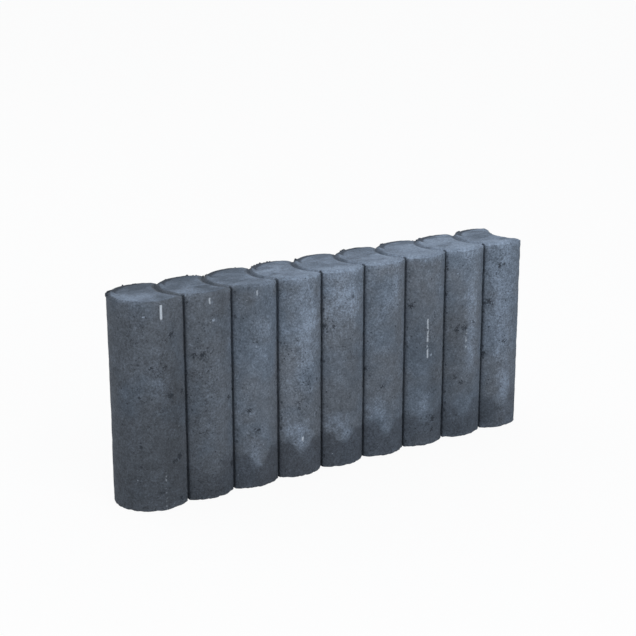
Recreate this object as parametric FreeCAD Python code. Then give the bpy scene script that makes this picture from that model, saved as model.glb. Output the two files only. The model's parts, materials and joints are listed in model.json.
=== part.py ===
import FreeCAD, Part

import math
import os

# Palisade block: one concrete casting in the shape of a row of touching round posts.
# X runs along the row from the round nose to the hollow end, Y through the thickness,
# Z up. The origin is at the middle of the block's box, on the underside.

# Driving dimensions, in millimetres
LAYING_LENGTH = 500.0  # nose tip to the nose tip of the next block in the row
POST_COUNT = 9
POST_DIAMETER = 80.0  # also the thickness of the block
HEIGHT = 225.0
CHAMFER_WIDTH = 4.5  # how far the chamfer on the rim of every post reaches in over the top
CHAMFER_DEPTH = 2.5  # how far it drops below the top, so two posts meet in a shallow V
GROOVE_WIDTH = 2.0  # dummy joint between two posts, front and back
GROOVE_DEPTH = 3.5  # how far the dummy joint cuts in past the meeting line of the posts
TIP_CUT = 3.5  # length taken off the two pointed tips of the hollow end
NEST_CLEARANCE = 1.0  # gap between a nose and the hollow that it sits in

# Sizes that follow from them
PITCH = LAYING_LENGTH / POST_COUNT
RADIUS = POST_DIAMETER / 2.0
HALF_PITCH = PITCH / 2.0
MEETING_Y = math.sqrt(RADIUS**2 - HALF_PITCH**2)
HOLLOW_RADIUS = RADIUS + NEST_CLEARANCE
SHOULDER_Z = HEIGHT - CHAMFER_DEPTH
OVERALL_LENGTH = RADIUS + POST_COUNT * PITCH - HALF_PITCH - TIP_CUT
NOSE_TIP_X = -OVERALL_LENGTH / 2.0
END_X = OVERALL_LENGTH / 2.0


def post_x(number):
    """Where the axis of a post stands along the row, counted from 0 at the nose."""
    return NOSE_TIP_X + RADIUS + number * PITCH


def at(x, y, z=0.0):
    return FreeCAD.Vector(x, y, z)


def line(start, end):
    return Part.LineSegment(start, end).toShape()


def round_bar(x, radius, top_radius):
    """Upright round bar that tapers or flares to another radius over the chamfer's depth."""
    shank = Part.makeCylinder(radius, SHOULDER_Z, at(x, 0))
    rim = Part.makeCone(radius, top_radius, CHAMFER_DEPTH, at(x, 0, SHOULDER_Z))
    return shank.fuse(rim)


def post(number, scoop_radius):
    """One post: a chamfered round bar, scooped out where the next post stands."""
    bar = round_bar(post_x(number), RADIUS, RADIUS - CHAMFER_WIDTH)
    scoop = round_bar(post_x(number + 1), scoop_radius, scoop_radius + CHAMFER_WIDTH)
    return bar.cut(scoop)


def tip_cutter():
    """Everything past the hollow end: its near face cuts the two tips flat, with the chamfer."""
    clear = POST_DIAMETER
    profile = Part.makePolygon([
        at(END_X, -clear, -clear),
        at(END_X, -clear, SHOULDER_Z),
        at(END_X - CHAMFER_WIDTH, -clear, HEIGHT),
        at(END_X + clear, -clear, HEIGHT),
        at(END_X + clear, -clear, -clear),
        at(END_X, -clear, -clear),
    ])
    return Part.Face(profile).extrude(at(0, 2 * clear, 0))


def groove(number, side):
    """Dummy joint between a post and the next, on the front (side -1) or the back (side 1)."""
    x = post_x(number) + HALF_PITCH
    half = GROOVE_WIDTH / 2.0
    open_y = side * (RADIUS + GROOVE_WIDTH)
    floor_y = side * (MEETING_Y - GROOVE_DEPTH)
    shoulder_y = floor_y + side * half
    outline = Part.Wire([
        line(at(x - half, open_y), at(x + half, open_y)),
        line(at(x + half, open_y), at(x + half, shoulder_y)),
        Part.Arc(at(x + half, shoulder_y), at(x, floor_y), at(x - half, shoulder_y)).toShape(),
        line(at(x - half, shoulder_y), at(x - half, open_y)),
    ])
    return Part.Face(outline).extrude(at(0, 0, HEIGHT))


def palisade_block():
    last = POST_COUNT - 1
    posts = [post(number, RADIUS) for number in range(last)]
    posts.append(post(last, HOLLOW_RADIUS).cut(tip_cutter()))
    block = posts[0].multiFuse(posts[1:])
    grooves = [groove(number, side) for number in range(last) for side in (-1, 1)]
    block = block.cut(Part.makeCompound(grooves)).removeSplitter()
    return block.Solids[0]


def main():
    os.makedirs("parts", exist_ok=True)
    block = palisade_block()
    block.exportStep("parts/palisade_block.step")
    box = block.BoundBox
    print("solid valid", block.isValid(), "faces", len(block.Faces))
    print("length", round(box.XLength, 3), "from", round(box.XMin, 3))
    print("thickness", round(box.YLength, 3), "height", round(box.ZLength, 3))
    print("volume in litres", round(block.Volume / 1e6, 3))


main()
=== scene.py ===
# %% [markdown]
# # A palisade block of dark concrete
#
# The real thing is one concrete casting, shaped like nine round posts that touch.
# A round nose at one end nests in the hollow end of the next block along a garden bed.
#
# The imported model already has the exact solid, but its surface is perfectly smooth.
# This script makes a skin of the same size with the marks of casting on it:
# dummy joints, worn rims, pores, pale lime bloom and the damp dark band at the foot.

import json
import math

import bmesh
import bpy
import numpy as np
from mathutils import Euler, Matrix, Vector
from mathutils.geometry import delaunay_2d_cdt

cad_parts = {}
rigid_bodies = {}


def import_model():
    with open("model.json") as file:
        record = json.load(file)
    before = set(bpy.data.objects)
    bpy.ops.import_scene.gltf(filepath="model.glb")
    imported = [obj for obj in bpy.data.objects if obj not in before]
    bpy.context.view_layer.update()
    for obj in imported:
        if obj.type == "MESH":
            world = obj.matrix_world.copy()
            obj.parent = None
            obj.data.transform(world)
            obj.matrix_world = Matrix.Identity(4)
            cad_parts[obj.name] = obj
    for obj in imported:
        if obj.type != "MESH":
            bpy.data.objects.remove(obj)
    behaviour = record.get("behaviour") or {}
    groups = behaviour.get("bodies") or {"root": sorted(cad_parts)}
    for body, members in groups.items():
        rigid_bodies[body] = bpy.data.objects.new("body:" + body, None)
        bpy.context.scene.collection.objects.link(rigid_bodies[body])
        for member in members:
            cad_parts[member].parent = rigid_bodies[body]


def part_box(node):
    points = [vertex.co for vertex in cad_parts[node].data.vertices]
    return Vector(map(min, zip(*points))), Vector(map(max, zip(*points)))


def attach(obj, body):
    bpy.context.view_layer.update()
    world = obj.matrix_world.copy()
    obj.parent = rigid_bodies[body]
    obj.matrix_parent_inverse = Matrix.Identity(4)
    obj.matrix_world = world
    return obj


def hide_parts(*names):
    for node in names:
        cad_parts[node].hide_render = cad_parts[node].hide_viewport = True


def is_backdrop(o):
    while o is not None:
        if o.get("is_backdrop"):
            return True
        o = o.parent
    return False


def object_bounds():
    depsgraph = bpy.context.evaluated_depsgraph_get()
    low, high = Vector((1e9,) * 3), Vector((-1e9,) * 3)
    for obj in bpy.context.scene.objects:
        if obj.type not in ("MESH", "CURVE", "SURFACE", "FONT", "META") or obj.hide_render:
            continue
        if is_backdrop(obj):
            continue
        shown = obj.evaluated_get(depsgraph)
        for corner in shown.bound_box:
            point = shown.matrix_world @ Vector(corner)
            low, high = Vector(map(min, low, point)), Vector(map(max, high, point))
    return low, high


for leftover in list(bpy.data.objects):
    bpy.data.objects.remove(leftover)
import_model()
cad_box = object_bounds()
low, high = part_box("palisade_block")
print("solid from", tuple(round(v, 4) for v in low), "to", tuple(round(v, 4) for v in high))

# %% [markdown]
# ## Sizes
# Everything is in metres. The length, thickness and height come from the solid, so the skin
# always fits it. The few small sizes of the mould are named here.
# Nine posts share the length: each stands one pitch from the next, and the last one has
# its two thin tips cut flat.

# %% Sizes of the casting
MM = 0.001
POSTS = 9
RADIUS = (high.y - low.y) / 2
HEIGHT = high.z
CHAMFER_WIDTH = 4.5 * MM
CHAMFER_DEPTH = 2.5 * MM
GROOVE_HALF = 1.0 * MM
GROOVE_DEPTH = 3.5 * MM
TIP_CUT = 3.5 * MM
NEST_CLEARANCE = 1 * MM

PITCH = (high.x - low.x - RADIUS + TIP_CUT) / (POSTS - 0.5)
HALF_PITCH = PITCH / 2
FIRST_X = low.x + RADIUS
MEETING_Y = math.sqrt(RADIUS**2 - HALF_PITCH**2)
GROOVE_FLOOR = MEETING_Y - GROOVE_DEPTH
HOLLOW_RADIUS = RADIUS + NEST_CLEARANCE
TIP_X = HALF_PITCH - TIP_CUT
print("pitch", round(PITCH / MM, 3), "mm, posts meet at", round(MEETING_Y / MM, 2), "mm")

# %% [markdown]
# ## The camera
# The block was photographed from its nose end, a little above it. The place and turn of the
# camera were found by laying the nine joints, top and bottom, over those in the photograph.
# The photograph's upright lines are parallel, as after a lens correction, and a plain camera
# can't do that without a large shift, so the error is shared between the top and the foot.

# %% Camera
LENS_MM = 86.05
CAMERA_AT = (-0.8779, -1.3374, 0.6441)
LOOK_DOWN = math.radians(16.78)
TURN = math.radians(-33.12)

lens = bpy.data.cameras.new("camera")
lens.lens = LENS_MM
lens.sensor_width = 36
lens.clip_start = 0.05
camera = bpy.data.objects.new("camera", lens)
camera.location = CAMERA_AT
camera.rotation_euler = Euler((math.pi / 2 - LOOK_DOWN, 0, TURN))
bpy.context.collection.objects.link(camera)
bpy.context.scene.camera = camera
print("camera", CAMERA_AT, "lens", LENS_MM, "mm")

# %% [markdown]
# ## Lines on the plan
# Seen from above, a post is a circle with a bite taken out of it by the next circle. Where two
# posts meet, the mould leaves a narrow dummy joint. So each wall is a run of points on the
# plan: down one side of a joint, round its floor, up the other side, then along the arc.
# A helper walks an arc at an even step, because even quads take the later relief best.

# %% Runs of points on the plan
STEP = 2.3 * MM


def arc(centre_x, radius, start, end, step=STEP):
    """Points along an arc about (centre_x, 0), both ends included. Angles are in radians."""
    count = max(2, round(abs(end - start) * radius / step))
    angles = np.linspace(start, end, count + 1)
    return np.column_stack([centre_x + radius * np.cos(angles), radius * np.sin(angles)])


def run(start, end, count):
    return np.linspace(start, end, count + 1)


def joined(*parts):
    """Runs put end to end, with each shared end kept once."""
    return np.vstack([parts[0]] + [part[1:] for part in parts[1:]])


def mirrored(points):
    """The same run on the back of the block, walked the other way."""
    return points[::-1] * (1, -1)


VALLEY_Y = math.sqrt(RADIUS**2 - (HALF_PITCH + GROOVE_HALF) ** 2)
LIP_Y = math.sqrt(RADIUS**2 - (HALF_PITCH - GROOVE_HALF) ** 2)
SHOULDER_Y = GROOVE_FLOOR + GROOVE_HALF


def joint_floor():
    """The dummy joint on a post's left, from the valley round the floor to the post's own lip."""
    turn = np.linspace(math.pi, 0, 5)
    floor = np.column_stack([
        -HALF_PITCH + GROOVE_HALF * np.cos(turn),
        -SHOULDER_Y + GROOVE_HALF * np.sin(turn),
    ])
    left, right = -HALF_PITCH - GROOVE_HALF, -HALF_PITCH + GROOVE_HALF
    return joined(
        run((left, -VALLEY_Y), (left, -SHOULDER_Y), 1),
        floor,
        run((right, -SHOULDER_Y), (right, -LIP_Y), 3),
    )


def face_arc(start, end):
    """A post's own face from one angle to another, with closer points next to each end."""
    close = np.array([0.6, 1.6]) * MM / RADIUS
    angles = [start, start + close[0], end - close[0], end]
    ends = np.column_stack([RADIUS * np.cos(angles), RADIUS * np.sin(angles)])
    return np.vstack([ends[:2], arc(0, RADIUS, start + close[1], end - close[1]), ends[2:]])


lip_x = HALF_PITCH - GROOVE_HALF
lip_angle = math.atan2(LIP_Y, lip_x)
tip_y = math.sqrt(RADIUS**2 - TIP_X**2)
hollow_y = math.sqrt(HOLLOW_RADIUS**2 - (PITCH - TIP_X) ** 2)
hollow_angle = math.atan2(hollow_y, PITCH - TIP_X)

joint_side = run((lip_x, -LIP_Y), (lip_x, -VALLEY_Y), 2)
valley_angle = math.atan2(VALLEY_Y, HALF_PITCH + GROOVE_HALF)
valley_down = arc(0, RADIUS, math.pi - valley_angle, math.pi + valley_angle)
next_valley_up = valley_down[::-1] + (PITCH, 0)

nose_wall = joined(
    mirrored(joint_side), face_arc(lip_angle, 2 * math.pi - lip_angle), joint_side
)
post_front = joined(joint_floor(), face_arc(lip_angle - math.pi, -lip_angle), joint_side)
end_front = joined(
    joint_floor(),
    face_arc(lip_angle - math.pi, math.atan2(-tip_y, TIP_X)),
    run((TIP_X, -tip_y), (TIP_X, -hollow_y), 3),
)
hollow = arc(PITCH, HOLLOW_RADIUS, math.pi + hollow_angle, math.pi - hollow_angle)
end_wall = joined(end_front, hollow, mirrored(end_front))
print("points on the nose", len(nose_wall), "post", len(post_front), "end", len(end_wall))

# %% [markdown]
# ## How high the top is
# Every post has a small chamfer round its rim, and also along the curve where it touches the
# next post, so two posts meet in a V. All of it follows from one number: how far a place is
# from the nearest edge of its post. Within the chamfer's width the top drops as fast as it
# comes near the edge. A little rounding where slope and flat meet keeps it from looking cut.

# %% Height of the top
ROUNDING = 0.3 * MM


def inset(x, y, scoop_radius=RADIUS, tip=None):
    """How far inside its own post a place is. The post's axis is at x = 0."""
    depth = np.minimum(RADIUS - np.hypot(x, y), np.hypot(x - PITCH, y) - scoop_radius)
    if tip is not None:
        depth = np.minimum(depth, tip - x)
    return np.maximum(depth, 0)


def top_height(depth):
    drop = CHAMFER_DEPTH * (1 - depth / CHAMFER_WIDTH)
    soft = (drop + ROUNDING) ** 2 / (4 * ROUNDING)
    return HEIGHT - np.where(drop > ROUNDING, drop, np.where(drop < -ROUNDING, 0, soft))


print("valley is", round((HEIGHT - float(top_height(np.float64(0)))) / MM, 2), "mm down")

# %% [markdown]
# ## Filling the top and the underside
# A flat fill would give long thin triangles that can't carry relief. Instead, points are set on
# level lines of the chamfer and on a honeycomb inside, and a Delaunay fill joins them. The level
# lines keep the slope's edges clean, and the honeycomb gives small even triangles.

# %% Fill an outline with even triangles
def too_close(point, others, gap):
    return len(others) and np.min(np.hypot(*(np.array(others) - point).T)) < gap


def in_joint(x, y, margin):
    across = np.abs(np.abs(x) - HALF_PITCH) < GROOVE_HALF + margin
    return across & (np.abs(y) > GROOVE_FLOOR - margin)


RING_STEP = 1.9 * MM
CLOSEST = 0.7 * MM
SLACK = 0.1 * MM


def fill_points(outline, depth_of, spacing, levels):
    """Points inside an outline: rings at the named insets, then a honeycomb."""
    turns = np.arange(0, 2 * math.pi, RING_STEP / RADIUS)
    kept = [tuple(p) for p in outline]
    for level in levels:
        rings = [(0, RADIUS - level), (PITCH, RADIUS + level)]
        for p in [(cx + r * math.cos(a), r * math.sin(a)) for cx, r in rings for a in turns]:
            inside = depth_of(*p) > level - SLACK and not in_joint(*p, CLOSEST)
            if inside and not too_close(p, kept, CLOSEST):
                kept.append(p)
    row = spacing * math.sqrt(3) / 2
    edge = levels[-1] if levels else 0
    for j, y in enumerate(np.arange(-RADIUS, RADIUS, row)):
        for x in np.arange(-RADIUS, PITCH, spacing) + (j % 2) * spacing / 2:
            deep = depth_of(x, y) > edge + 0.5 * spacing and not in_joint(x, y, 0.5 * spacing)
            if deep and not too_close((x, y), kept, 0.55 * spacing):
                kept.append((x, y))
    return kept


def filled(outline, points):
    ring = [list(range(len(outline)))]
    flat, _, triangles, *_ = delaunay_2d_cdt([Vector(p) for p in points], [], ring, 1, 1e-7)
    return np.array([tuple(p) for p in flat]), [list(t) for t in triangles]


BEND = ROUNDING * CHAMFER_WIDTH / CHAMFER_DEPTH
LEVELS = [1.2 * MM, 2.6 * MM, CHAMFER_WIDTH - BEND, CHAMFER_WIDTH + BEND]
print("rings of points", [round(level / MM, 2) for level in LEVELS], "mm in from the rim")

# %% [markdown]
# ## Three kinds of post
# Seven of the nine posts are the same. The first has the round nose in place of a joint, and the
# last has the hollow. So three patches of skin are made: each has its walls as quads in rows from
# the foot to the rim, a filled top and a filled underside.
# Three numbers are kept on every point: how near it is to a rim, where concrete wears and chips,
# how near it is to the bottom of a V, which is darkened with dirt and painted shade, and on a top
# how far in it lies.

# %% Make the patches
FOOT_ROWS = np.array([0, 0.7, 1.8, 3.4]) * MM
RIM_ROWS = np.array([3.4, 1.8, 0.7, 0]) * MM
ROW_STEP = 2.45 * MM


FOOT_WEAR, RIM_WEAR, LIP_WEAR = 2.0 * MM, 0.9 * MM, 1.0 * MM
UNDERSIDE_WEAR, VALLEY_DIRT_AND_SHADE = 1.6 * MM, 1.3 * MM
UNDERSIDE_STEP = 6 * MM


def near(distance, reach):
    """1 at a distance of 0, and fading away over the named reach."""
    return np.exp(-np.abs(distance) / reach)


NOSE, POST, END = 0, 1, 2


class Patch:
    def __init__(self):
        self.points, self.faces, self.kind = [], [], []
        self.rim, self.valley, self.inset = [], [], []

    def add(self, points, faces, kind, rim, valley=None, inset=None):
        start, none = len(self.points), np.zeros(len(points))
        self.points += [tuple(p) for p in points]
        self.faces += [[i + start for i in face] for face in faces]
        self.kind += [kind] * len(points)
        self.rim += list(rim)
        self.valley += list(none if valley is None else valley)
        self.inset += list(none if inset is None else inset)


def wall(patch, path, depth_of, kind):
    """Quads from the foot to the top along one run of the plan."""
    tops = top_height(depth_of(path[:, 0], path[:, 1]))
    middle = round((HEIGHT - CHAMFER_DEPTH - FOOT_ROWS[-1] - RIM_ROWS[0]) / ROW_STEP)
    along, aside = path[:, 0], np.abs(path[:, 1])
    lips = np.abs(np.abs(along) - lip_x) + np.abs(aside - LIP_Y)
    for corner_y in (tip_y, hollow_y):
        lips = np.minimum(lips, np.hypot(along - TIP_X, aside - corner_y))
    points, rim = [], []
    for (x, y), top, lip in zip(path, tops, lips):
        between = np.linspace(FOOT_ROWS[-1], top - RIM_ROWS[0], middle + 1)[1:-1]
        heights = np.concatenate([FOOT_ROWS, between, top - RIM_ROWS])
        points += [(x, y, z) for z in heights]
        worn = np.maximum(near(heights, FOOT_WEAR), 0.6 * near(top - heights, RIM_WEAR))
        rim += list(np.maximum(worn, 0.5 * near(lip, LIP_WEAR)))
    rows = len(points) // len(path)
    faces = [
        [k * rows + j, (k + 1) * rows + j, (k + 1) * rows + j + 1, k * rows + j + 1]
        for k in range(len(path) - 1)
        for j in range(rows - 1)
    ]
    patch.add(points, faces, kind, rim)


def touches_next(x, y, kind):
    """True on the side of a patch where another post goes on, so its edge is no rim."""
    goes_on = (x < 0) if kind == END else (x > 0) if kind == NOSE else True
    return goes_on & (np.abs(y) < VALLEY_Y + SLACK)


def caps(patch, outline, depth_of, kind):
    """The top with its chamfers, and the flat underside."""
    top, triangles = filled(outline, fill_points(outline, depth_of, STEP, LEVELS))
    depth = depth_of(top[:, 0], top[:, 1])
    inner = touches_next(top[:, 0], top[:, 1], kind)
    rim = np.maximum(near(depth, RIM_WEAR), 0.5 * near(depth - CHAMFER_WIDTH, RIM_WEAR))
    rim = np.where(inner & (depth < 2 * MM), 0.25 * rim, rim)
    valley = near(depth, VALLEY_DIRT_AND_SHADE) * inner
    patch.add(np.column_stack([top, top_height(depth)]), triangles, kind, rim, valley, depth)
    under, triangles = filled(outline, fill_points(outline, depth_of, UNDERSIDE_STEP, []))
    depth = depth_of(under[:, 0], under[:, 1])
    foot = near(depth, UNDERSIDE_WEAR) * ~touches_next(under[:, 0], under[:, 1], kind)
    under = np.column_stack([under, np.zeros(len(under))])
    patch.add(under, [t[::-1] for t in triangles], kind, foot)


def end_inset(x, y):
    return inset(x, y, HOLLOW_RADIUS, TIP_X)


patch = Patch()
wall(patch, nose_wall, inset, NOSE)
caps(patch, joined(nose_wall, next_valley_up)[:-1], inset, NOSE)
wall(patch, post_front, inset, POST)
wall(patch, mirrored(post_front), inset, POST)
post_outline = joined(post_front, next_valley_up, mirrored(post_front), valley_down)
caps(patch, post_outline[:-1], inset, POST)
wall(patch, end_wall, end_inset, END)
caps(patch, joined(end_wall, valley_down)[:-1], end_inset, END)

mesh = bpy.data.meshes.new("block_skin")
mesh.from_pydata(patch.points, [], patch.faces)
for name, values in (("rim", patch.rim), ("valley", patch.valley), ("inset", patch.inset)):
    mesh.attributes.new(name, "FLOAT", "POINT").data.foreach_set("value", values)
mesh.attributes.new("kind", "INT", "POINT").data.foreach_set("value", patch.kind)
skin = bpy.data.objects.new("block_skin", mesh)
bpy.context.collection.objects.link(skin)
print("three patches:", len(mesh.vertices), "points,", len(mesh.polygons), "faces")

# %% [markdown]
# ## Setting the posts in a row
# On the real block one mould shape is repeated along the row, so Geometry Nodes repeat it here:
# the nose patch stands first, seven copies of the post patch follow at one pitch each, and the
# end patch closes the row. A weld then joins all the shared edges into one closed skin.
# A small helper adds a node and plugs in its values, because every tree needs that.

# %% Helpers for node trees
def put(tree, kind, inputs=None, **settings):
    """Adds a node. An input is a plain value, or another node's output socket."""
    node = tree.nodes.new(kind)
    for name, value in settings.items():
        setattr(node, name, value)
    for key, value in (inputs or {}).items():
        if isinstance(value, bpy.types.NodeSocket):
            tree.links.new(value, node.inputs[key])
        else:
            node.inputs[key].default_value = value
    return node


def sums(tree, operation, *values, clamp=False):
    """One step of arithmetic, and its result."""
    inputs = dict(enumerate(values))
    return put(tree, "ShaderNodeMath", inputs, operation=operation, use_clamp=clamp).outputs[0]


def chain(tree, operation, first, *others):
    """The same step of arithmetic over and over, from left to right."""
    for other in others:
        first = sums(tree, operation, first, other)
    return first


def ramp(tree, value, start, end, low_value=0.0, high_value=1.0):
    """Runs smoothly from one value to another while the input goes from start to end."""
    inputs = {0: value, 1: start, 2: end, 3: low_value, 4: high_value}
    settings = {"interpolation_type": "SMOOTHSTEP", "clamp": True}
    return put(tree, "ShaderNodeMapRange", inputs, **settings).outputs[0]


def noise(tree, place, size, detail=2.0, roughness=0.5, distortion=0.0):
    """Cloudy noise, 0 to 1, whose lumps are about the named size in metres."""
    inputs = {
        "Vector": place,
        "Scale": 1 / size,
        "Detail": detail,
        "Roughness": roughness,
        "Distortion": distortion,
    }
    return put(tree, "ShaderNodeTexNoise", inputs).outputs[0]


def xyz(tree, value):
    """The three parts of a vector."""
    return put(tree, "ShaderNodeSeparateXYZ", {0: value}).outputs


def vector(tree, operation, *values):
    """One step of arithmetic on vectors. A plain number scales."""
    inputs = {3 if operation == "SCALE" and i else i: v for i, v in enumerate(values)}
    return put(tree, "ShaderNodeVectorMath", inputs, operation=operation).outputs[0]


def point_value(tree, name, kind="FLOAT"):
    """A number that was stored on the mesh's points."""
    return put(tree, "GeometryNodeInputNamedAttribute", {0: name}, data_type=kind).outputs[0]


def put_in_box(tree, geometry, place, given):
    """Moves points to a place, trimmed to the block's box, and shades the faces smooth."""
    place = vector(tree, "MAXIMUM", place, given["Box low"])
    place = vector(tree, "MINIMUM", place, given["Box high"])
    moved = put(tree, "GeometryNodeSetPosition", {"Geometry": geometry, "Position": place})
    return put(tree, "GeometryNodeSetShadeSmooth", {0: moved.outputs[0]}).outputs[0]


def new_tree(name, sizes):
    """A Geometry Nodes tree with a mesh in, a mesh out and named inputs for its sizes."""
    tree = bpy.data.node_groups.new(name, "GeometryNodeTree")
    face = tree.interface
    face.new_socket("Mesh", in_out="INPUT", socket_type="NodeSocketGeometry")
    for label, kind in sizes.items():
        face.new_socket(label, in_out="INPUT", socket_type=kind)
    face.new_socket("Mesh", in_out="OUTPUT", socket_type="NodeSocketGeometry")
    return tree, tree.nodes.new("NodeGroupInput").outputs


def finish_tree(tree, geometry, material):
    """Ends a tree the way the export needs it: real meshes, with their material."""
    real = put(tree, "GeometryNodeRealizeInstances", {0: geometry})
    painted = put(tree, "GeometryNodeSetMaterial", {0: real.outputs[0], 2: material})
    out = tree.nodes.new("NodeGroupOutput")
    tree.links.new(painted.outputs[0], out.inputs[0])


def grow(piece, tree, **sizes):
    """Runs a tree on a piece with the given sizes, and keeps the result as a plain mesh."""
    modifier = piece.modifiers.new(tree.name, "NODES")
    modifier.node_group = tree
    for item in tree.interface.items_tree:
        key = item.name.lower().replace(" ", "_")
        if item.item_type == "SOCKET" and key in sizes:
            modifier[item.identifier] = sizes[key]
    graph = bpy.context.evaluated_depsgraph_get()
    made = bpy.data.meshes.new_from_object(
        piece.evaluated_get(graph), preserve_all_data_layers=True, depsgraph=graph
    )
    piece.modifiers.remove(modifier)
    made.name = piece.name
    piece.data = made
    print(tree.name, "gave", len(made.vertices), "points,", len(made.polygons), "faces")
    return piece


print("tree helpers ready")

# %% Repeat the post along the row
concrete = bpy.data.materials.new("dark_concrete")
concrete.use_nodes = True

FLOAT, INT, VECTOR = "NodeSocketFloat", "NodeSocketInt", "NodeSocketVector"
row, given = new_tree("row_of_posts", {
    "Posts": INT, "Pitch": FLOAT, "First post": FLOAT, "Weld": FLOAT,
})
kind = point_value(row, "kind", "INT")


def only(number):
    same = put(row, "FunctionNodeCompare", {2: kind, 3: number}, data_type="INT", operation="EQUAL")
    part = put(row, "GeometryNodeSeparateGeometry", {0: given["Mesh"], 1: same.outputs[0]})
    return part.outputs[0]


def along(distance):
    return put(row, "ShaderNodeCombineXYZ", {0: distance}).outputs[0]


middle_posts = sums(row, "SUBTRACT", given["Posts"], 2)
row_line = put(row, "GeometryNodeMeshLine", {
    "Count": middle_posts,
    "Start Location": along(given["Pitch"]),
    "Offset": along(given["Pitch"]),
})
copies = put(row, "GeometryNodeInstanceOnPoints", {
    "Points": row_line.outputs[0],
    "Instance": only(POST),
})
last_x = sums(row, "MULTIPLY", sums(row, "SUBTRACT", given["Posts"], 1), given["Pitch"])
last = put(row, "GeometryNodeTransform", {0: only(END), "Translation": along(last_x)})
tree_join = row.nodes.new("GeometryNodeJoinGeometry")
for part in (only(NOSE), copies.outputs[0], last.outputs[0]):
    row.links.new(part, tree_join.inputs[0])
solid_row = put(row, "GeometryNodeRealizeInstances", {0: tree_join.outputs[0]})
welded = put(row, "GeometryNodeMergeByDistance", {
    "Geometry": solid_row.outputs[0],
    "Distance": given["Weld"],
})
placed = put(row, "GeometryNodeTransform", {
    0: welded.outputs[0],
    "Translation": along(given["First post"]),
})
finish_tree(row, placed.outputs[0], concrete)
grow(skin, row, posts=POSTS, pitch=PITCH, first_post=FIRST_X, weld=0.02 * MM)


def print_closed(piece):
    """Prints how many edges are open, which should be none, and the volume inside."""
    check = bmesh.new()
    check.from_mesh(piece.data)
    count = sum(not edge.is_manifold for edge in check.edges)
    print("open edges", count, "litres", round(check.calc_volume(signed=True) * 1000, 3))
    check.free()


print_closed(skin)

# %% [markdown]
# ## The cast face
# Concrete out of a steel mould is never quite flat: it bellies a little, its face is rough like
# orange peel, air leaves blow-holes, and the rims crumble when the mould is lifted off.
# The tree pushes each point inwards along its own normal by the sum of those marks. It only
# ever pushes inwards, and then trims to the block's box, so the size stays true.
# The flat of the underside is left alone, because the block has to stand on it.

# %% Relief of the cast face
relief, given = new_tree("cast_face", {
    "Belly": FLOAT, "Peel": FLOAT, "Hole depth": FLOAT, "Hole size": FLOAT, "Rim wear": FLOAT,
    "Box low": VECTOR, "Box high": VECTOR,
})
place = put(relief, "GeometryNodeInputPosition").outputs[0]
outward = put(relief, "GeometryNodeInputNormal").outputs[0]
rim = point_value(relief, "rim")
height = xyz(relief, place)[2]

belly = ramp(relief, noise(relief, place, 50 * MM), 0.3, 0.75)
belly = sums(relief, "MULTIPLY", belly, given["Belly"])
peel = ramp(relief, noise(relief, place, 7 * MM, detail=1), 0.35, 0.8)
peel = sums(relief, "MULTIPLY", peel, given["Peel"])
HOLE_SPACING = 19 * MM
holes = put(relief, "ShaderNodeTexVoronoi", {"Vector": place, "Scale": 1 / HOLE_SPACING})
hole_reach = sums(relief, "DIVIDE", given["Hole size"], 2 * HOLE_SPACING)
hole = ramp(relief, holes.outputs["Distance"], hole_reach, 0.0)
chosen = xyz(relief, holes.outputs["Color"])[0]
hole = chain(relief, "MULTIPLY", hole, ramp(relief, chosen, 0.62, 0.85), given["Hole depth"])
face = chain(relief, "ADD", belly, peel, hole)
face = sums(relief, "MULTIPLY", face, ramp(relief, height, 0.5 * MM, 3 * MM))

crumble = ramp(relief, noise(relief, place, 9 * MM, detail=3, roughness=0.7), 0.4, 0.75)
crumble = sums(relief, "ADD", crumble, 0.12)
worn = sums(relief, "MULTIPLY", sums(relief, "POWER", rim, 1.3), given["Rim wear"])
depth = sums(relief, "ADD", face, sums(relief, "MULTIPLY", worn, crumble))

inward = vector(relief, "SCALE", outward, sums(relief, "MULTIPLY", depth, -1))
pushed = vector(relief, "ADD", place, inward)
finish_tree(relief, put_in_box(relief, given["Mesh"], pushed, given), concrete)
grow(
    skin, relief,
    belly=0.5 * MM, peel=0.35 * MM, hole_depth=1.0 * MM, hole_size=5 * MM, rim_wear=1.3 * MM,
    box_low=tuple(low), box_high=tuple(high),
)
print_closed(skin)

# %% [markdown]
# ## Crumbs on the rims
# A little concrete is squeezed past the mould's edge, and it stays as hard crumbs along the
# chamfers. They show best against the background, on the far rim.
# They are scattered over the skin wherever the rim value is high, and only near the top. Each
# is a small lump of twenty faces, turned and sized at random from a fixed seed.

# %% Scatter the crumbs
scatter, given = new_tree("rim_crumbs", {
    "Smallest": FLOAT, "Largest": FLOAT, "Crumbs per square metre": FLOAT, "Lowest": FLOAT,
    "Seed": INT, "Box low": VECTOR, "Box high": VECTOR,
})
place = put(scatter, "GeometryNodeInputPosition").outputs[0]
_, backward, height = xyz(scatter, place)
density = chain(
    scatter, "MULTIPLY",
    ramp(scatter, point_value(scatter, "rim"), 0.3, 0.8),
    ramp(scatter, noise(scatter, place, 16 * MM, detail=2), 0.5, 0.66),
    ramp(scatter, height, given["Lowest"], HEIGHT - 3 * MM),
    ramp(scatter, backward, 0.0, 25 * MM, 0.12, 1.0),
    given["Crumbs per square metre"],
)
points = put(scatter, "GeometryNodeDistributePointsOnFaces", {
    "Mesh": given["Mesh"], "Density": density, "Seed": given["Seed"],
})
lump = put(scatter, "GeometryNodeMeshIcoSphere", {"Radius": 1.0, "Subdivisions": 1})
size = put(scatter, "FunctionNodeRandomValue", {
    2: given["Smallest"], 3: given["Largest"], 8: given["Seed"],
})
FULL_TURN = 6.28
turn = put(scatter, "FunctionNodeRandomValue", {
    0: (0, 0, 0), 1: (FULL_TURN, FULL_TURN, FULL_TURN), 8: given["Seed"],
}, data_type="FLOAT_VECTOR")
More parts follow.
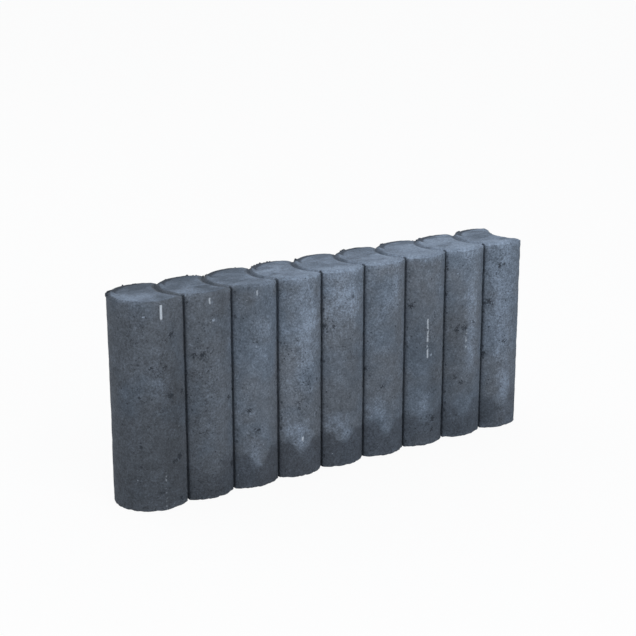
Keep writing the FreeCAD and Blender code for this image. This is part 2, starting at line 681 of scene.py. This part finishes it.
crumbs_made = put(scatter, "GeometryNodeInstanceOnPoints", {
    "Points": points.outputs[0],
    "Instance": lump.outputs[0],
    "Rotation": turn.outputs[0],
    "Scale": put(scatter, "ShaderNodeCombineXYZ", {
        0: size.outputs[1],
        1: sums(scatter, "MULTIPLY", size.outputs[1], 0.8),
        2: sums(scatter, "MULTIPLY", size.outputs[1], 0.65),
    }).outputs[0],
})
crumbs_real = put(scatter, "GeometryNodeRealizeInstances", {0: crumbs_made.outputs[0]})
crumbs_kept = put_in_box(scatter, crumbs_real.outputs[0], place, given)
# The crumbs take the full darkening of a valley bottom, dirt and painted shade alike
crumbs_dark = put(scatter, "GeometryNodeStoreNamedAttribute", {
    "Geometry": crumbs_kept, "Name": "valley", "Value": 1.0,
}, data_type="FLOAT", domain="POINT")
finish_tree(scatter, crumbs_dark.outputs[0], concrete)
crumbs = bpy.data.objects.new("rim_crumbs", skin.data.copy())
bpy.context.collection.objects.link(crumbs)
grow(
    crumbs, scatter,
    smallest=0.8 * MM, largest=2.3 * MM, crumbs_per_square_metre=1200000.0,
    lowest=HEIGHT - 5 * MM, seed=7, box_low=tuple(low), box_high=tuple(high),
)
LUMP_POINTS = 12
print("crumbs", len(crumbs.data.vertices) // LUMP_POINTS)

# %% [markdown]
# ## Where the marks are
# Lime that washes out of fresh concrete dries as pale bloom, blocks that rub against each other
# on a pallet get white scuffs along the crown of each post, and air that was caught against the
# mould leaves holes. The broad lighter and darker places on the front are partly painted light and
# shade, and the tops carry painted highlights and painted shade among their pale clouds. All have
# places of their own, so they are set where the photograph shows them: a pixel there is carried
# along the camera's line of sight to the front or the top of the block. The strength is kept on the
# skin's points, and the material breaks up its edges, as a painter would lay in broad tones first
# and stipple over them.

# %% Carry a pixel of the photograph onto the block
FRAME_PX = 636
turned = camera.rotation_euler.to_matrix()


def line_of_sight(pixel_x, pixel_y):
    scale = lens.sensor_width / lens.lens / FRAME_PX
    aside, above = pixel_x - FRAME_PX / 2, FRAME_PX / 2 - pixel_y
    return turned @ Vector((aside * scale, above * scale, -1))


def on_front(pixel_x, pixel_y):
    """Where the line of sight through a pixel meets the front of a post."""
    start, ray = Vector(CAMERA_AT), line_of_sight(pixel_x, pixel_y)
    nearest = None
    for number in range(POSTS):
        centre = FIRST_X + number * PITCH
        a = ray.x**2 + ray.y**2
        b = (start.x - centre) * ray.x + start.y * ray.y
        c = (start.x - centre) ** 2 + start.y**2 - RADIUS**2
        if b * b > a * c:
            reach = (-b - math.sqrt(b * b - a * c)) / a
            nearest = min(nearest or reach, reach)
    return start + nearest * ray


def on_top(pixel_x, pixel_y):
    """Where the line of sight through a pixel meets the plane of the tops."""
    start, ray = Vector(CAMERA_AT), line_of_sight(pixel_x, pixel_y)
    return start + (HEIGHT - start.z) / ray.z * ray


def round_post(points):
    """Unrolls the front: millimetre-true distance along the face, in post after post."""
    number = np.clip(np.round((points[:, 0] - FIRST_X) / PITCH), 0, POSTS - 1)
    across = np.arctan2(points[:, 0] - FIRST_X - number * PITCH, -points[:, 1])
    return number, across * RADIUS


print("line of sight through the frame's middle", [round(v, 3) for v in line_of_sight(318, 318)])

# %% Pale bloom and scuffs
# Each mark: the pixel of its middle, its half width and half height in millimetres, strength
BLOOM_MARKS = {
    "post 4 high": (310, 320, 19, 22, 0.85),
    "post 4 middle": (307, 362, 15, 28, 0.55),
    "post 4 foot": (296, 432, 17, 15, 0.75),
    "post 4 tip": (302, 446, 5, 9, 0.45),
    "post 5 high": (346, 303, 20, 26, 0.75),
    "post 5 rim": (335, 275, 22, 5, 0.6),
    "post 5 foot": (338, 424, 17, 12, 0.5),
    "post 5 tip": (346, 435, 6, 9, 0.35),
    "post 3 foot": (256, 452, 12, 14, 0.45),
    "post 3 tip": (257, 465, 5, 10, 0.5),
    "post 3 high": (266, 330, 9, 14, 0.5),
    "post 4 rim": (303, 295, 16, 12, 0.45),
    "post 6 foot": (376, 410, 14, 16, 0.55),
    "post 6 tip": (386, 424, 5, 9, 0.5),
    "post 6 high": (388, 305, 11, 18, 0.5),
    "post 6 edge": (397, 290, 6, 30, 0.4),
    "post 7 foot": (424, 405, 6, 14, 0.65),
    "post 8 high": (472, 310, 9, 42, 0.6),
    "post 8 low": (470, 352, 8, 26, 0.45),
    "post 8 top": (470, 255, 9, 10, 0.45),
    "post 9 high": (503, 298, 18, 50, 0.6),
    "post 9 low": (504, 385, 9, 25, 0.9),
    "post 9 middle": (503, 345, 16, 30, 0.45),
    "post 1 middle": (160, 386, 9, 12, 0.5),
    "post 2 middle": (212, 400, 8, 30, 0.3),
    "post 1 crown": (150, 375, 12, 26, 0.25),
}
# Each scuff: the pixel of its upper end, the pixel row of its lower end, strength
SCUFF_MARKS = {
    "post 1 top": (161, 305, 321, 1.0),
    "post 1 foot": (164, 468, 516, 0.35),
    "post 2 top": (211, 297, 303, 0.7),
    "post 2 high": (211, 312, 330, 0.3),
    "post 3": (257, 290, 298, 0.55),
    "post 4": (299, 438, 443, 0.9),
    "post 7": (428, 319, 358, 0.75),
    "post 8": (467, 330, 348, 0.55),
    "post 9 foot": (508, 417, 425, 0.7),
}
print(len(BLOOM_MARKS), "patches of bloom and", len(SCUFF_MARKS), "scuffs")

# %% Clouds, painted highlights and painted shade on the tops, and broad tones on the front
# Each cloud on a top, pale or (below 0) dark: the same five numbers. Some are the top's own pale
# clouds, others painted light and shade, such as the lit crescent at a front rim and the shaded
# dish
TOP_MARKS = {
    "top 1 crescent left": (118, 296, 9, 12, 0.9),
    "top 1 crescent": (131, 299, 12, 9, 1.0),
    "top 1 crescent right": (146, 296, 11, 8, 0.9),
    "top 1 back": (138, 285, 22, 10, -0.6),
    "top 1 wedge": (149, 290, 8, 8, -0.2),
    "top 2 front": (191, 291, 18, 12, 0.65),
    "top 2 middle": (189, 284, 10, 8, 0.35),
    "top 2 right": (206, 287, 9, 14, -0.5),
    "top 2 back": (186, 277, 20, 8, -0.6),
    "top 3 front": (243, 283, 16, 9, 0.4),
    "top 3 middle": (238, 275, 22, 12, -0.4),
    "top 3 back": (228, 271, 18, 8, -0.5),
    "top 4 middle": (272, 270, 20, 14, 0.5),
    "top 5 front": (330, 269, 20, 8, 0.7),
    "top 5 back": (323, 256, 18, 9, -0.6),
    "top 6 dish": (363, 248, 13, 8, -0.9),
    "top 6 middle": (376, 257, 15, 8, 0.8),
    "top 6 front": (384, 260, 18, 7, 0.25),
    "top 7 dish": (404, 242, 10, 6, -0.4),
    "top 7 middle": (410, 249, 24, 22, 0.6),
    "top 7 front": (416, 256, 20, 9, 0.8),
    "top 8 middle": (440, 241, 20, 12, 0.7),
    "top 8 right": (461, 246, 11, 11, 1.0),
    "top 8 left": (432, 237, 8, 8, -0.5),
    "top 9 dish": (477, 236, 9, 9, -0.9),
    "top 9 left": (463, 234, 10, 12, 0.5),
    "top 9 front": (494, 242, 18, 9, 0.8),
    "top 9 far tip": (490, 233, 6, 5, -1.0),
}
# Each broad lighter or (below 0) darker place on the front, partly the concrete's own tone and
# partly painted light and shade: the same five numbers
SHADE_MARKS = {
    "post 1 right": (175, 410, 18, 110, -0.32),
    "post 1 low": (150, 470, 42, 75, -0.15),
    "post 1 rim": (132, 306, 34, 14, 0.1),
    "post 2": (205, 400, 30, 120, -0.09),
    "post 2 upper right": (224, 310, 10, 40, -0.28),
    "post 2 foot": (205, 495, 40, 16, -0.3),
    "post 3 upper": (246, 305, 26, 32, -0.2),
    "post 3 foot": (254, 482, 28, 10, -0.08),
    "post 3 right": (269, 425, 7, 14, 0.1),
    "post 3 lower": (253, 405, 34, 48, 0.1),
    "post 4 left": (289, 387, 13, 52, 0.26),
    "post 4": (300, 375, 24, 60, 0.05),
    "post 5 left": (327, 314, 9, 24, 0.18),
    "post 5 upper": (340, 290, 28, 22, 0.12),
    "post 5 right": (355, 365, 11, 45, -0.2),
    "post 6 rim": (376, 272, 16, 9, 0.18),
    "post 6 upper left": (371, 306, 12, 12, -0.09),
    "post 6 right": (396, 335, 11, 40, -0.15),
    "post 7": (420, 330, 28, 60, -0.17),
    "post 7 right": (434, 375, 11, 42, -0.24),
    "post 7 middle": (416, 352, 22, 14, -0.07),
    "post 7 foot left": (413, 405, 8, 14, 0.1),
    "post 8 rim": (464, 258, 25, 20, 0.2),
    "post 8 right": (475, 290, 8, 50, 0.2),
    "post 8 left": (453, 345, 16, 60, -0.24),
    "post 9 rim": (502, 256, 25, 24, 0.17),
    "post 9 middle": (503, 330, 12, 20, -0.08),
    "post 9 edge": (485, 414, 7, 14, -0.12),
    "post 9 foot": (487, 414, 15, 14, -0.22),
    "post 8 foot": (462, 428, 30, 16, -0.24),
    "post 8 upper": (458, 276, 10, 14, 0.08),
    "post 8 low": (460, 386, 22, 13, -0.08),
    "post 9 low": (499, 375, 12, 22, 0.13),
}
print(len(TOP_MARKS), "clouds on the tops,", len(SHADE_MARKS), "broad tones")

# %% Holes and chips
# Each cluster of holes: the pixel of its middle, its reach in millimetres, strength
PIT_MARKS = {
    "post 1 high": (172, 334, 4, 0.8),
    "post 1 middle": (155, 372, 9, 0.7),
    "post 1 right": (171, 395, 5, 1.0),
    "post 1 belt": (158, 414, 7, 0.6),
    "post 1 edge": (181, 392, 4, 1.0),
    "post 1 low": (179, 456, 5, 1.0),
    "post 2 high": (203, 326, 9, 0.6),
    "post 2 middle": (201, 355, 8, 1.0),
    "post 2 belt": (197, 375, 7, 0.6),
    "post 2 left": (187, 394, 6, 0.6),
    "post 2 low": (222, 461, 5, 0.7),
    "post 3 middle": (249, 411, 6, 0.6),
    "post 3 low": (257, 430, 6, 0.6),
    "post 3 foot": (233, 463, 4, 1.0),
    "post 4 middle": (305, 382, 10, 0.7),
    "post 4 low": (302, 404, 11, 0.8),
    "post 5 high": (329, 326, 9, 0.8),
    "post 5 low": (345, 396, 9, 0.4),
    "post 6 middle": (371, 330, 9, 0.4),
    "post 6 left": (365, 369, 5, 0.9),
    "post 6 low": (382, 387, 6, 0.6),
    "post 7 high": (412, 306, 4, 0.8),
    "post 7 low": (431, 391, 6, 0.7),
    "post 7 foot": (430, 418, 6, 1.0),
    "post 8 top": (464, 275, 6, 0.6),
    "post 8 middle": (462, 328, 7, 1.0),
    "post 8 low": (455, 378, 7, 0.5),
    "post 9 top": (501, 264, 5, 0.9),
    "post 9 left": (488, 302, 8, 0.9),
    "post 9 middle": (504, 340, 5, 0.6),
    "post 9 edge": (483, 354, 4, 1.0),
    "post 9 low": (492, 382, 7, 0.5),
}

# Each single hole, or (below 0) pale chip: the pixel of its middle, its reach, its strength
CHIP_MARKS = {
    "post 1 high": (171, 335, 2.6, 1.0),
    "post 1 spot": (165, 368, 1.8, 1.0),
    "post 1 spot left": (151, 369, 1.8, 0.9),
    "post 1 lip": (182, 391, 2.6, 1.0),
    "post 1 hole": (171, 396, 2.5, 1.2),
    "post 1 lip low": (180, 456, 2.8, 1.2),
    "post 1 streak": (175, 461, 2.4, 0.8),
    "post 1 lip foot": (182, 498, 2.4, 1.0),
    "post 2 middle": (202, 355, 2.6, 1.0),
    "post 2 middle left": (194, 356, 2.4, 0.8),
    "post 2 right lip": (229, 397, 2.4, 1.0),
    "post 3 left lip": (232, 463, 3.0, 1.2),
    "post 3 spot": (249, 411, 1.9, 0.9),
    "post 3 low spot": (258, 431, 1.8, 0.8),
    "post 4 spot": (309, 384, 2.2, 0.8),
    "post 5 left lip": (324, 326, 2.6, 1.0),
    "post 5 spot": (353, 297, 1.8, 0.8),
    "post 6 left lip": (364, 369, 2.5, 1.2),
    "post 6 spot": (382, 387, 2.0, 0.9),
    "post 7 spot": (411, 306, 2.3, 1.1),
    "post 7 foot": (433, 418, 2.7, 1.2),
    "post 7 foot low": (432, 430, 2.3, 0.8),
    "post 8 left": (445, 294, 2.8, 0.9),
    "post 8 spot": (465, 328, 2.4, 1.1),
    "post 8 smear": (457, 330, 2.8, 0.9),
    "post 8 right": (473, 322, 1.9, 0.8),
    "post 8 lower": (461, 382, 2.2, 0.8),
    "post 9 top": (500, 266, 2.0, 0.9),
    "post 9 top right": (505, 264, 1.9, 0.8),
    "post 9 left": (489, 302, 3.2, 0.9),
    "post 9 left lip": (484, 303, 2.6, 0.8),
    "post 9 lip low": (482, 354, 2.8, 1.2),
    "post 9 right": (504, 341, 2.1, 0.9),
    "pale on post 1": (143, 317, 1.8, -1.2),
    "pale on post 2": (214, 320, 1.9, -1.2),
    "pale beside it": (210, 320, 1.7, -0.9),
    "pale on post 3": (257, 347, 1.8, -0.8),
    "pale at post 3 foot": (264, 445, 1.8, -0.8),
    "pale on post 7": (431, 355, 1.9, -1.1),
    "pale on post 8": (458, 274, 1.9, -0.8),
}

print(len(PIT_MARKS), "clusters of holes,", len(CHIP_MARKS), "single holes and chips")

# %% Keep the marks on the skin's points
flat = np.zeros(len(skin.data.vertices) * 3)
skin.data.vertices.foreach_get("co", flat)
spots = flat.reshape(-1, 3)
posts, across = round_post(spots)
front = (spots[:, 1] < -VALLEY_Y) | ((posts == 0) & (spots[:, 1] < 10 * MM))


def oval(aside, away, half_width, half_height, strength):
    """A soft oval: full in its middle, and fading out past its half width and half height."""
    return strength * np.exp(-((aside / half_width / MM) ** 2) - (away / half_height / MM) ** 2)


def on_posts(marks):
    """Adds up soft ovals on the front, each on its own post. A round one gives one reach."""
    total = np.zeros(len(spots))
    for x, y, *reaches, strength in marks.values():
        centre = on_front(x, y)
        post, middle = round_post(np.array([centre]))
        spot = oval(
            across - middle[0], spots[:, 2] - centre.z, reaches[0], reaches[-1], strength
        )
        total += spot * (posts == post[0]) * front
    return total


bloom, shade, pits, chips = map(on_posts, (BLOOM_MARKS, SHADE_MARKS, PIT_MARKS, CHIP_MARKS))
on_tops = spots[:, 2] > HEIGHT - CHAMFER_DEPTH - SLACK
# The tops' clouds join the bloom: pale clouds, painted highlights and painted shade alike
for x, y, *reaches, strength in TOP_MARKS.values():
    centre = on_top(x, y)
    bloom += on_tops * oval(
        spots[:, 0] - centre.x, spots[:, 1] - centre.y, *reaches, strength
    )
scuff = np.zeros(len(spots))
SCUFF_REACH = 7 * MM
for x, upper, lower, strength in SCUFF_MARKS.values():
    top, foot = on_front(x, upper), on_front(x, lower)
    post, middle = round_post(np.array([top]))
    inside = (spots[:, 2] < top.z) & (spots[:, 2] > foot.z) & (posts == post[0])
    scuff = np.maximum(scuff, strength * inside * (np.abs(across - middle[0]) < SCUFF_REACH))
stored = {"bloom": bloom, "shade": shade, "pits": pits, "chips": chips, "scuff": scuff * front}
for name, values in stored.items():
    values = np.clip(values, -1, 1)
    skin.data.attributes.new(name, "FLOAT", "POINT").data.foreach_set("value", values)
print("bloom on", int((bloom > 0.2).sum()), "points, scuffs on", int((scuff > 0).sum()))

# %% [markdown]
# ## The concrete
# The colour of dyed concrete is never even. From large to small there are: clouds of warmer and
# cooler grey, the pale lime bloom, a damp dark band at the foot that stands higher beside each
# joint, a mottle the size of a fingertip, sand grains, and dark pin holes.
# Each is one layer over the last, all from noise on the object's own coordinates in metres, so
# every lump has a true size and nothing slides when the camera moves.

# %% Helpers for the material
skin_tree = concrete.node_tree
shader = skin_tree.nodes["Principled BSDF"]


def grey(*chart):
    """A colour as a paint chart gives it, 0 to 255, for a shader that wants linear light."""
    return tuple(((v / 255 + 0.055) / 1.055) ** 2.4 for v in chart) + (1.0,)


def do(operation, *values, clamp=False):
    return sums(skin_tree, operation, *values, clamp=clamp)


def plus(*values):
    return chain(skin_tree, "ADD", *values)


def times(*values):
    return chain(skin_tree, "MULTIPLY", *values)


def most(*values):
    return chain(skin_tree, "MAXIMUM", *values)


def fade(value, start, end, low_value=0.0, high_value=1.0):
    return ramp(skin_tree, value, start, end, low_value, high_value)


def swing(pattern, amount):
    """Shifts a pattern that runs from 0 to 1 so that it swings about 0."""
    return times(do("SUBTRACT", pattern, 0.5), amount)


def layer(under, over, amount):
    """Lays one colour over another."""
    inputs = {0: amount, 6: under, 7: over}
    return put(
        skin_tree, "ShaderNodeMix", inputs, data_type="RGBA", clamp_factor=True
    ).outputs[2]


def cloud(size, detail=2.0, roughness=0.5, distortion=0.0, place=None):
    return noise(skin_tree, place or here, size, detail, roughness, distortion)


def kept(name):
    """A number that was stored on the skin's points."""
    return put(skin_tree, "ShaderNodeAttribute", attribute_name=name).outputs["Fac"]


coordinates = put(skin_tree, "ShaderNodeTexCoord").outputs
here = coordinates["Object"]
x, y, z = xyz(skin_tree, here)
facing = xyz(skin_tree, coordinates["Normal"])
upward = fade(facing[2], 0.3, 0.85)
sideways = do("SUBTRACT", 1.0, upward)

# Distance from the crown of the nearest post, along the row: 0 on the crown, 1 at a joint
from_crown = do("WRAP", do("SUBTRACT", x, FIRST_X), HALF_PITCH, -HALF_PITCH)
to_joint = do("DIVIDE", do("ABSOLUTE", from_crown), HALF_PITCH)
print("material helpers ready")

# %% Colour, from the large clouds to the damp foot
WARM, COOL = grey(88, 94, 102), grey(87, 97, 109)
PALE, DAMP = grey(124, 137, 154), grey(60, 65, 73)

# The nose end is the warmer one
cooler = plus(cloud(60 * MM, 3, 0.55), fade(x, low.x, high.x, -0.1, 0.05))
colour = layer(WARM, COOL, fade(cooler, 0.36, 0.64))

mottle = cloud(9 * MM, 4, 0.65)
grain = cloud(2.2 * MM, 3, 0.7)
sand = cloud(0.8 * MM, 1)

patchy = cloud(26 * MM, 5, 0.62, 0.3)
# The pale layer carries the lime bloom, and on the tops the painted highlights and shade kept with
# it
bloom_and_top_shading_here = plus(kept("bloom"), swing(patchy, 1.0), swing(mottle, 0.9), swing(grain, 1.2))
bloom_and_top_shading_here = fade(bloom_and_top_shading_here, -0.1, 1.4)
colour = layer(colour, PALE, times(bloom_and_top_shading_here, 0.8))

# The damp stands lower along the rubbed line beside the crown, and fades out at the nose
RUB_SIDE = 3 * MM
rubbed = fade(do("ABSOLUTE", plus(from_crown, RUB_SIDE)), 2 * MM, 16 * MM)
damp_top = plus(27 * MM, times(rubbed, 15 * MM), swing(cloud(30 * MM, 3), 22 * MM))
damp = times(
    fade(do("SUBTRACT", damp_top, z), -4.5 * MM, 4.5 * MM),
    fade(x, low.x + RADIUS, low.x + 3 * PITCH, 0.12, 0.75),
    fade(x, low.x + 4 * PITCH, high.x, 1.0, 0.6),
)
colour = layer(colour, DAMP, damp)

# Darker towards the nose and the foot; the broad marks, partly painted light and shade, shift it
# too
tint = times(
    plus(1.0, swing(mottle, 0.8), swing(grain, 1.6), swing(sand, 0.8)),
    fade(x, low.x - 2 * RADIUS, low.x + 4 * PITCH, 0.7, 1.04),
    fade(z, 0.0, HEIGHT, 0.87, 1.07),
    plus(1.0, kept("shade")),
)
print("faces coloured,", len(skin_tree.nodes), "nodes so far")

# %% The tops: a pale ring inside the rim as painted light, leaving a darker dish, and painted shade along the far rim
TOP_DARK, FAR_SHADE = grey(74, 85, 98), grey(36, 44, 54)
swept = put(skin_tree, "ShaderNodeMapping", {0: here, 3: (0.6, 1.3, 1.0)}).outputs[0]
swirl = cloud(24 * MM, 2, 0.45, 1.2, swept)
inset_here = kept("inset")
# Painted light: a pale ring inside the rim, strongest at the front, leaves the middle of each top a
# darker dish
ring = times(fade(inset_here, 18 * MM, 6 * MM), fade(y, RADIUS, -RADIUS, 0.3, 1.0))
top_pale = plus(times(ring, 0.3), fade(swirl, 0.3, 0.7, 0.0, 0.55))
top_pale = do("ADD", top_pale, times(kept("bloom"), 0.9), clamp=True)
top_pale = plus(top_pale, fade(x, low.x + 1.5 * PITCH, low.x + 5 * PITCH, 0.0, 0.25))
top_colour = layer(TOP_DARK, PALE, top_pale)

# Towards the nose the chamfer has the face's own tone, further along it is as pale as the top
further = fade(x, low.x + 1.5 * PITCH, low.x + 4 * PITCH)
covered = fade(inset_here, CHAMFER_WIDTH - 1.5 * MM, CHAMFER_WIDTH + 1 * MM)
covered = times(most(covered, times(further, 0.85)), upward)
haze = fade(z, HEIGHT - CHAMFER_DEPTH - 7 * MM, HEIGHT - CHAMFER_DEPTH)
haze = times(haze, further, fade(mottle, 0.3, 0.6, 0.1, 0.45))
colour = layer(colour, top_colour, times(most(covered, haze), 0.85))

# Painted shade on the far rim of each post and on the chamfers that face back and to the left,
# fainter towards the hollow end of the row
fainter_towards_end = fade(x, 0.0, high.x, 1.0, 0.45)
far = do("SUBTRACT", times(y, 0.84), times(from_crown, 0.54))
far_rim_shade = fade(inset_here, CHAMFER_WIDTH + 8 * MM, CHAMFER_WIDTH + 4 * MM)
far_rim_shade = times(far_rim_shade, fade(far, 14 * MM, 28 * MM), upward)
turned_away_shade = do("SUBTRACT", facing[1], times(facing[0], 0.8))
turned_away_shade = times(fade(turned_away_shade, 0.1, 0.4, 0.0, 0.6), upward, fainter_towards_end)
colour = layer(colour, FAR_SHADE, times(most(far_rim_shade, turned_away_shade), 0.8))
tinted = vector(skin_tree, "SCALE", colour, tint)
print("tops coloured,", len(skin_tree.nodes), "nodes so far")

# %% Spots: pin holes in clusters, torn places and broken lips
# A little warp on the place gives every spot a ragged outline
warp = put(skin_tree, "ShaderNodeTexNoise", {"Vector": here, "Scale": 1 / (2 * MM), "Detail": 2.0})
warp = vector(skin_tree, "SUBTRACT", warp.outputs["Color"], (0.5, 0.5, 0.5))
ragged = vector(skin_tree, "ADD", here, vector(skin_tree, "SCALE", warp, 2.2 * MM))


def dots(size, share, radius, seed):
    """Sparse round spots: one in a cell of the named size, and only in a share of the cells."""
    place = put(skin_tree, "ShaderNodeMapping", {0: ragged, 1: (seed, 0, 0)}).outputs[0]
    cells = put(skin_tree, "ShaderNodeTexVoronoi", {"Vector": place, "Scale": 1 / size})
    which = xyz(skin_tree, cells.outputs["Color"])
    wide = times(radius / size, plus(0.6, times(which[1], 0.8)))
    inside = fade(do("DIVIDE", cells.outputs["Distance"], wide), 1.0, 0.55)
    return times(inside, do("LESS_THAN", which[0], share))


def joint_share(distance):
    """The value of to_joint at a distance from the joint."""
    return 1 - distance / HALF_PITCH


clusters = plus(fade(cloud(38 * MM, 2), 0.5, 0.66, 0.04, 0.4), kept("pits"))
torn = plus(cloud(1.9 * MM, 2, 0.6), times(cloud(6 * MM, 2, 0.6, 0.6), 0.7))
torn = do("MULTIPLY", fade(torn, 0.93, 1.03), times(clusters, 1.1), clamp=True)
broken_lip = fade(to_joint, joint_share(5 * MM), joint_share(2.5 * MM))
broken_lip = times(dots(6 * MM, 0.4, 1.7 * MM, 5.9), broken_lip, do("LESS_THAN", y, LIP_Y))
pin_holes = most(
    dots(3.2 * MM, times(clusters, 0.6), 0.95 * MM, 0.3),
    dots(5 * MM, times(kept("pits"), 0.6), 1.6 * MM, 1.1),
    torn,
    dots(15 * MM, 0.35, 1.2 * MM, 1.7),
    broken_lip,
)
pin_holes = times(pin_holes, do("SUBTRACT", 1.0, times(upward, 0.85)))
print("holes done,", len(skin_tree.nodes), "nodes so far")

# %% Chips where they were set, and pale grains
HOLE_DARK, CHIP_PALE, GRAIN_PALE = grey(32, 38, 46), grey(150, 162, 178), grey(165, 174, 186)
frayed = swing(cloud(1.7 * MM, 2, 0.7), 3.2)
chip_here = kept("chips")
chip = times(fade(plus(chip_here, frayed), 0.32, 0.6), fade(chip_here, 0.06, 0.2))
pale_chip = fade(plus(chip_here, times(frayed, 0.3)), -0.45, -0.7)
pin_holes = most(times(pin_holes, 0.75), chip)
speckle = times(dots(3.0 * MM, 0.3, 0.6 * MM, 4.3), plus(0.1, bloom_and_top_shading_here))
tinted = layer(tinted, HOLE_DARK, times(pin_holes, 0.85))
tinted = layer(tinted, CHIP_PALE, times(pale_chip, 0.7))
tinted = layer(tinted, CHIP_PALE, times(speckle, 0.45))
tinted = layer(tinted, GRAIN_PALE, times(dots(9 * MM, 0.2, 0.6 * MM, 2.9), 0.5))
print("chips and grains done,", len(skin_tree.nodes), "nodes so far")

# %% Rubbed crowns, dirty joints, painted shade in the valleys and past the joints, and worn rims
RUBBED_WHITE, SOOT_AND_SHADE, RIM_PALE = grey(186, 194, 203), grey(34, 41, 50), grey(128, 140, 156)

# The rub along the crown is a thin broken line, and only where a scuff was set
scuff_here = kept("scuff")
rub = do("SUBTRACT", from_crown, swing(cloud(14 * MM), 2.0 * MM))
rub = do("ABSOLUTE", plus(rub, RUB_SIDE))
rub = do("DIVIDE", rub, plus(0.4, times(scuff_here, 0.6)))
solid = plus(cloud(3.5 * MM, 2), times(do("POWER", scuff_here, 3.0), 0.35))
rub = times(fade(rub, 1.8 * MM, 0.7 * MM), scuff_here, fade(solid, 0.52, 0.66))
tinted = layer(tinted, RUBBED_WHITE, times(rub, 0.85))

in_joint_dark = fade(do("ABSOLUTE", y), LIP_Y + 0.4 * MM, LIP_Y - 2 * MM)
by_joint = fade(to_joint, joint_share(1.8 * MM), joint_share(0.9 * MM))
past_nose = do("GREATER_THAN", x, FIRST_X)
soot = times(in_joint_dark, by_joint, past_nose, sideways, 0.25)
# Painted shade: a little darkening lies over the left flank of the next post, just past the joint
shade_past_joint = fade(from_crown, 4 * MM - HALF_PITCH, 1 * MM - HALF_PITCH, 0.0, 0.4)
shade_past_joint = times(shade_past_joint, past_nose, do("LESS_THAN", y, 0.0), sideways)
# The bottom of each V between two tops is darkened with dirt and painted shade, more towards the
# back
in_valley = times(kept("valley"), fade(y, -25 * MM, 20 * MM, 0.5, 0.9), fainter_towards_end)
tinted = layer(tinted, SOOT_AND_SHADE, times(most(soot, shade_past_joint, in_valley), 0.9))

worn_pale = times(kept("rim"), fade(grain, 0.45, 0.7))
worn_pale = times(worn_pale, fade(x, low.x + 2 * PITCH, high.x, 0.15, 0.45))
tinted = layer(tinted, RIM_PALE, worn_pale)
skin_tree.links.new(tinted, shader.inputs["Base Color"])
shader.inputs["Roughness"].default_value = 0.88
shader.inputs["Specular IOR Level"].default_value = 0.3
print("colour layers done")

# %% Bump finer than the mesh
grit = plus(times(grain, 0.5 * MM), times(sand, 0.18 * MM), times(mottle, 0.5 * MM))
grit = do("SUBTRACT", grit, times(pin_holes, 0.9 * MM))
bump = put(skin_tree, "ShaderNodeBump", {"Strength": 0.75, "Distance": 1.0, "Height": grit})
skin_tree.links.new(bump.outputs[0], shader.inputs["Normal"])
print("bump done,", len(skin_tree.nodes), "nodes in the concrete")

# %% [markdown]
# ## Floor and light
# The block was photographed on plain white, lit from the front right by a wide soft light.
# The floor is an ordinary pale surface, so it takes the block's shadow, but to the camera the
# world behind it is plain white. A large area light makes soft edges between the lit and the
# shaded flank of each post, and a dim grey world fills in the rest.

# %% Floor, world and lights
bpy.ops.mesh.primitive_plane_add(size=20, location=(0, 0, 0))
floor = bpy.context.object
floor.name = "floor"
white_paper = bpy.data.materials.new("white_paper")
white_paper.use_nodes = True
paper = white_paper.node_tree
matt = paper.nodes["Principled BSDF"]
matt.inputs["Base Color"].default_value = (0.8, 0.8, 0.8, 1)
matt.inputs["Roughness"].default_value = 0.9
WHITE = (1, 1, 1, 1)
shining = put(paper, "ShaderNodeEmission", {0: WHITE, 1: 1.0})
to_camera = put(paper, "ShaderNodeLightPath").outputs["Is Camera Ray"]
WHITENED = 0.93  # the rest is the floor's own shade, so a little of the shadow is left
bright = put(paper, "ShaderNodeMixShader", {
    0: sums(paper, "MULTIPLY", to_camera, WHITENED), 1: matt.outputs[0], 2: shining.outputs[0],
})
paper.links.new(bright.outputs[0], paper.nodes["Material Output"].inputs["Surface"])
floor.data.materials.append(white_paper)
floor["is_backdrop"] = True

world = bpy.data.worlds.new("studio")
bpy.context.scene.world = world
world.use_nodes = True
sky = world.node_tree
rays = put(sky, "ShaderNodeLightPath").outputs
seen = sums(sky, "MAXIMUM", rays["Is Camera Ray"], rays["Is Glossy Ray"])
FILL = (0.60, 0.63, 0.67, 1)
shown = put(sky, "ShaderNodeMix", {0: seen, 6: FILL, 7: WHITE}, data_type="RGBA")
sky.links.new(shown.outputs[2], sky.nodes["Background"].inputs["Color"])


def soft_light(name, azimuth, elevation, distance, size, watts):
    """A square soft box that looks at the middle of the block."""
    data = bpy.data.lights.new(name, "AREA")
    data.size = size
    data.energy = watts
    lamp = bpy.data.objects.new(name, data)
    a, e = math.radians(azimuth), math.radians(elevation)
    aim = Vector((0, 0, HEIGHT / 2))
    away = Vector((math.sin(a) * math.cos(e), -math.cos(a) * math.cos(e), math.sin(e)))
    lamp.location = aim + away * distance
    lamp.rotation_euler = away.to_track_quat("Z", "Y").to_euler()
    bpy.context.collection.objects.link(lamp)


soft_light("key", azimuth=-4, elevation=36, distance=2.6, size=2.0, watts=30)
soft_light("back_fill", azimuth=-150, elevation=35, distance=3.0, size=1.4, watts=12)

scene = bpy.context.scene
scene.view_settings.view_transform = "Standard"

# %% [markdown]
# ## The pieces on the body
# The skin stands for the solid, which is then hidden. Both pieces ride on the block's one body,
# and carry its concrete material. The boxes are printed to show that nothing grew.

# %% Ride and replace
for piece in (skin, crumbs):
    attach(piece, "root")
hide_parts("palisade_block")

skin_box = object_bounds()
boxes = {"cad": [list(v) for v in cad_box], "visual": [list(v) for v in skin_box]}
for name, box in boxes.items():
    print(name, [[round(v * 1000, 2) for v in corner] for corner in box], "mm")
